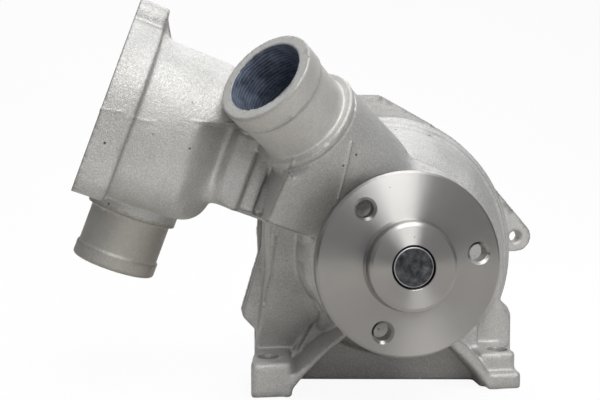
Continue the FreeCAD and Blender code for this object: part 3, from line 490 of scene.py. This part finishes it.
def turned_steel(name, colour, roughness, ring_spacing, specks=True, dish=0.0):
    """Face-turned steel: fine rings that spread reflections into radial fans, and a light stain.
    specks adds spots, scratches and painted shadow at the edge of the hub's bore, where the gap round the
    shaft lies in shade; dish leans the face outwards a little, as a faced disc does near the tool's path."""
    m = Shader(name)
    outward, radius = m.from_shaft()
    rings_out = m.math("MULTIPLY", radius, 1.0 / (ring_spacing * MM))
    ring = m.noise(1.0, 3.0, 0.7, m.add("ShaderNodeCombineXYZ", {"X": rings_out}).outputs[0])
    tint = m.ramp(ring, (0.3, tuple(0.90 * c for c in colour)), (0.7, colour))
    stain = m.ramp(m.noise(38.0, 4.0, 0.65), (0.45, 0.0), (0.8, 0.35))
    tint = m.mix(stain, tint, tuple(0.72 * c for c in colour))
    facing = m.add("ShaderNodeNewGeometry").outputs["Normal"]
    dished = m.vector("NORMALIZE", m.vector("ADD", facing, m.vector("SCALE", outward, Scale=dish)))
    normal = m.bump(ring, 0.004 * MM, onto=dished)
    if specks:
        inside, outside = HUB_BORE_GAP_SHADE
        # Painted shadow: the hub face turns near black towards its bore, where the gap round the shaft lies
        # in shade.
        bore = m.ramp(m.math("MULTIPLY", radius, 1.0 / RADIUS_SPAN), (inside, 1.0), (outside, 0.0))
        tint = m.mix(bore, tint, (0.015, 0.015, 0.017))
        spots = m.add("ShaderNodeTexVoronoi", {"Vector": m.place, "Scale": 95.0}).outputs["Distance"]
        tint = m.mix(m.ramp(spots, (0.018, 0.85), (0.03, 0.0)), tint, (0.09, 0.08, 0.07))
        stretched = m.add("ShaderNodeMapping", {
            "Vector": m.place, "Rotation": (0.3, 0.9, 0.2), "Scale": (1.0, 1.0, 9.0)}).outputs[0]
        scratch = m.ramp(m.noise(260.0, 4.0, 0.8, stretched), (0.66, 0.0), (0.70, 1.0))
        normal = m.bump(scratch, 0.02 * MM, 0.35, onto=normal)
    sheen = m.ramp(ring, (0.3, roughness - 0.05), (0.7, roughness + 0.06))
    m.set(Base_Color=tint, Metallic=1.0, Roughness=sheen, Anisotropic=0.95, Tangent=outward, Normal=normal)
    return m.material


def dull_metal(name, colour, roughness):
    """Plain metal with a light grain and small changes of tone."""
    m = Shader(name)
    tone = m.ramp(m.noise(70.0, 4.0, 0.6), (0.3, tuple(0.82 * c for c in colour)), (0.7, colour))
    grain = m.noise(900.0, 3.0, 0.6)
    sheen = m.ramp(grain, (0.3, roughness - 0.07), (0.7, roughness + 0.08))
    m.set(Base_Color=tone, Metallic=1.0, Roughness=sheen, Normal=m.bump(grain, 0.01 * MM, 0.6))
    return m.material


def shaft_end_steel(name):
    """Dark hardened steel with a bruised end face, a painted highlight ring just inside its chamfer and
    painted shadow from there outwards.
    """
    m = Shader(name)
    blotch = m.noise(330.0, 5.0, 0.7)
    tone = m.ramp(blotch, (0.35, (0.03, 0.031, 0.035)), (0.55, (0.085, 0.088, 0.095)),
                  (0.78, (0.24, 0.24, 0.25)))
    _, radius = m.from_shaft()
    share = m.math("MULTIPLY", radius, 1.0 / RADIUS_SPAN)
    # Painted highlight: a bright ring just inside the chamfer, where the edge catches the light.
    chamfer_highlight = m.ramp(share, *zip(CHAMFER_HIGHLIGHT_RING, (0.0, 0.8, 0.8, 0.0)))
    tone = m.mix(chamfer_highlight, tone, (0.75, 0.75, 0.77))
    # Painted shadow: the shaft turns near black from its chamfer outwards, where the gap to the hub lies in
    # shade.
    tone = m.mix(m.ramp(share, *zip(SHAFT_EDGE_SHADE, (0.0, 1.0))), tone, (0.012, 0.012, 0.014))
    m.set(Base_Color=tone, Metallic=0.9, Roughness=m.ramp(blotch, (0.3, 0.30), (0.7, 0.55)),
          Normal=m.bump(blotch, 0.06 * MM, 0.7))
    return m.material


def soft_material(name, colour, roughness, grain=700.0):
    """Rubber, plastic, paper or ceramic: one hue with a moulded or pressed grain."""
    m = Shader(name)
    tone = m.ramp(m.noise(120.0, 3.0), (0.3, tuple(0.8 * c for c in colour)), (0.7, colour))
    fine = m.noise(grain, 3.0, 0.6)
    sheen = m.ramp(fine, (0.3, roughness - 0.08), (0.7, roughness + 0.08))
    m.set(Base_Color=tone, Roughness=sheen, Normal=m.bump(fine, 0.02 * MM, 0.5))
    return m.material


# ---------------------------------------------------------------- scene
def stage_floor():
    """Pale floor that sweeps up into a plain backdrop: near white to the camera, greyer to the object."""
    half_width, front, back, height, bend, steps = 1.6, -1.2, 0.9, 1.6, 0.5, 12
    path = [(front, 0.0), (back - bend, 0.0)]
    for k in range(1, steps + 1):
        angle = math.radians(90.0 * k / steps)
        path.append((back - bend + bend * math.sin(angle), bend - bend * math.cos(angle)))
    path.append((back, height))
    points = [(x, y, z + FLOOR_Z * MM) for y, z in path for x in (-half_width, half_width)]
    faces = [(2 * i, 2 * i + 1, 2 * i + 3, 2 * i + 2) for i in range(len(path) - 1)]
    m = Shader("paper_sweep")
    tone = m.ramp(m.noise(3.0), (0.3, 0.84), (0.7, 0.87))
    seen = m.add("ShaderNodeLightPath").outputs["Is Camera Ray"]
    m.set(Base_Color=m.mix(seen, (0.60, 0.58, 0.55), tone), Roughness=0.9)
    glow = m.add("ShaderNodeEmission", {"Color": (1.0, 1.0, 1.0, 1.0), "Strength": 1.0})
    both = m.add("ShaderNodeMixShader", {
        0: m.math("MULTIPLY", seen, 0.93), 1: m.surface.outputs[0], 2: glow.outputs[0]})
    m.feed(m.tree.nodes["Material Output"].inputs["Surface"], both.outputs[0])
    floor = new_mesh_object("floor_sweep", points, faces, [m.material])


def softbox(name, place, target, size, power, colour=(1.0, 1.0, 1.0)):
    """A rectangular area light, in metres and watts, that points at the target."""
    light = bpy.data.lights.new(name, "AREA")
    light.shape = "RECTANGLE"
    light.size, light.size_y = size
    light.energy = power
    light.color = colour
    lamp = bpy.data.objects.new(name, light)
    lamp.location = place
    lamp.rotation_euler = (Vector(target) - Vector(place)).to_track_quat("-Z", "Y").to_euler()
    bpy.context.scene.collection.objects.link(lamp)


def studio_air():
    """Surroundings that are dark at the horizon, paler above, and near white where the camera sees them."""
    world = bpy.data.worlds.new("studio_air")
    bpy.context.scene.world = world
    world.use_nodes = True
    tree = world.node_tree
    direction = tree.nodes.new("ShaderNodeTexCoord")
    split = tree.nodes.new("ShaderNodeSeparateXYZ")
    sky = tree.nodes.new("ShaderNodeValToRGB")
    stops = ((0.12, (0.14, 0.145, 0.16, 1.0)), (0.65, (0.52, 0.54, 0.57, 1.0)))
    for element, (position, colour) in zip(sky.color_ramp.elements, stops):
        element.position = position
        element.color = colour
    seen = tree.nodes.new("ShaderNodeLightPath")
    backdrop = tree.nodes.new("ShaderNodeMixRGB")
    backdrop.inputs["Color2"].default_value = (0.97, 0.97, 0.97, 1.0)
    for start, end in (
        (direction.outputs["Generated"], split.inputs[0]),
        (split.outputs["Z"], sky.inputs[0]),
        (seen.outputs["Is Camera Ray"], backdrop.inputs["Fac"]),
        (sky.outputs["Color"], backdrop.inputs["Color1"]),
        (backdrop.outputs["Color"], tree.nodes["Background"].inputs["Color"]),
    ):
        tree.links.new(start, end)


def studio():
    """The floor, three soft lights, the surroundings and the colour transform."""
    stage_floor()
    centre = (-0.02, -0.04, 0.0)
    softbox("overhead", (0.09, -0.42, 0.68), centre, (0.45, 0.40), 3.6, (1.0, 0.99, 0.97))
    softbox("upper_front", (0.09, -0.95, 0.56), centre, (0.55, 0.55), 3.2)
    softbox("back_top", (0.10, 0.45, 0.65), centre, (0.8, 0.4), 3.0)
    studio_air()
    bpy.context.scene.view_settings.view_transform = "Standard"


def camera():
    """The camera at the photograph's viewpoint."""
    look = Vector(CAMERA_LOOK).normalized()
    right = look.cross(Vector((0, 0, 1))).normalized()
    up = right.cross(look)
    data = bpy.data.cameras.new("view")
    data.lens = CAMERA_LENS
    data.sensor_width = CAMERA_SENSOR
    data.clip_start = 0.01
    seat = bpy.data.objects.new("view", data)
    place = Vector(CAMERA_PLACE) * MM
    seat.matrix_world = Matrix((
        (right.x, up.x, -look.x, place.x),
        (right.y, up.y, -look.y, place.y),
        (right.z, up.z, -look.z, place.z),
        (0.0, 0.0, 0.0, 1.0)))
    bpy.context.scene.collection.objects.link(seat)
    bpy.context.scene.camera = seat


def paint(nodes):
    """Gives every CAD node that stays visible its material."""
    rubber = soft_material("moulded_rubber", (0.022, 0.022, 0.024), 0.55)
    seal_sheet = dull_metal("pressed_stainless", (0.62, 0.60, 0.55), 0.32)
    looks = {
        "cover_gasket": soft_material("fibre_gasket", (0.10, 0.11, 0.12), 0.8, 1400.0),
        "cover_screws": dull_metal("zinc_plate", (0.66, 0.66, 0.62), 0.34),
        "outlet_seal_ring": rubber,
        "hub_flange": turned_steel("turned_hub_steel", (0.43, 0.42, 0.41), 0.36, 0.22, dish=0.16),
        "pump_shaft": shaft_end_steel("hardened_shaft"),
        "bearing_outer_ring": turned_steel("ground_bearing_steel", (0.60, 0.60, 0.61), 0.22, 0.1, False),
        "front_bearing_balls": dull_metal("polished_ball", (0.74, 0.74, 0.75), 0.12),
        "front_ball_cage": soft_material("nylon_cage", (0.62, 0.55, 0.40), 0.5),
        "front_bearing_shield": rubber,
        "rear_bearing_shield": rubber,
        "water_slinger": rubber,
        "impeller": turned_steel("impeller_steel", (0.46, 0.46, 0.47), 0.38, 0.3),
        "seal_cup": seal_sheet,
        "seal_bellows": rubber,
        "seal_spring": dull_metal("spring_wire", (0.64, 0.63, 0.60), 0.28),
        "seal_drive_ring": seal_sheet,
        "seal_carbon_ring": soft_material("carbon_graphite", (0.035, 0.035, 0.037), 0.35, 1500.0),
        "seal_mating_ring": soft_material("lapped_ceramic", (0.80, 0.78, 0.72), 0.25, 1500.0),
        "mating_ring_boot": rubber,
    }
    looks["rear_bearing_balls"] = looks["front_bearing_balls"]
    looks["rear_ball_cage"] = looks["front_ball_cage"]
    for name, material in looks.items():
        node = nodes[name]
        node.data.materials.clear()
        node.data.materials.append(material)


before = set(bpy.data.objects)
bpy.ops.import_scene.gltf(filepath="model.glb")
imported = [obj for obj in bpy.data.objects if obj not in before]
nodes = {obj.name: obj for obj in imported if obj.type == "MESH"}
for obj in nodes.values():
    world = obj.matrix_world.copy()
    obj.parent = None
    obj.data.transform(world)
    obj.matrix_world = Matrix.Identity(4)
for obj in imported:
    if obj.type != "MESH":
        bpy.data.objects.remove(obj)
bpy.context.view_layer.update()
front_rings = (FRONT_MOUTH, FRONT_INWARD, FRONT_SPIGOT_PITCH)
lower_rings = ((0.0, 0.0, 0.0), (math.sin(ARM_TILT), 0.0, math.cos(ARM_TILT)), LOWER_SPIGOT_PITCH)
# in the order of the housing's material slots
housing_looks = [
    cast_skin("shot_blasted_aluminium", (0.55, 0.545, 0.53), (0.44, 0.433, 0.415), 0.20),
    cast_skin("front_spigot_skin", (0.60, 0.59, 0.565), (0.50, 0.49, 0.465), 0.12, front_rings),
    # The lower spigot's skin is darker and browner than the front spigot's: painted shade of the underside,
    # over the same turned finish.
    cast_skin("lower_spigot_shaded_skin", (0.47, 0.45, 0.415), (0.38, 0.365, 0.335), 0.06, lower_rings),
    dark_bore("blue_black_bore"),
]
cast_housing(nodes, HOUSING_VOXEL, housing_looks)
cast_cover(nodes, COVER_VOXEL, [housing_looks[0]])
paint(nodes)
springy_part(nodes, "seal_bellows")
springy_part(nodes, "seal_spring")
studio()
camera()
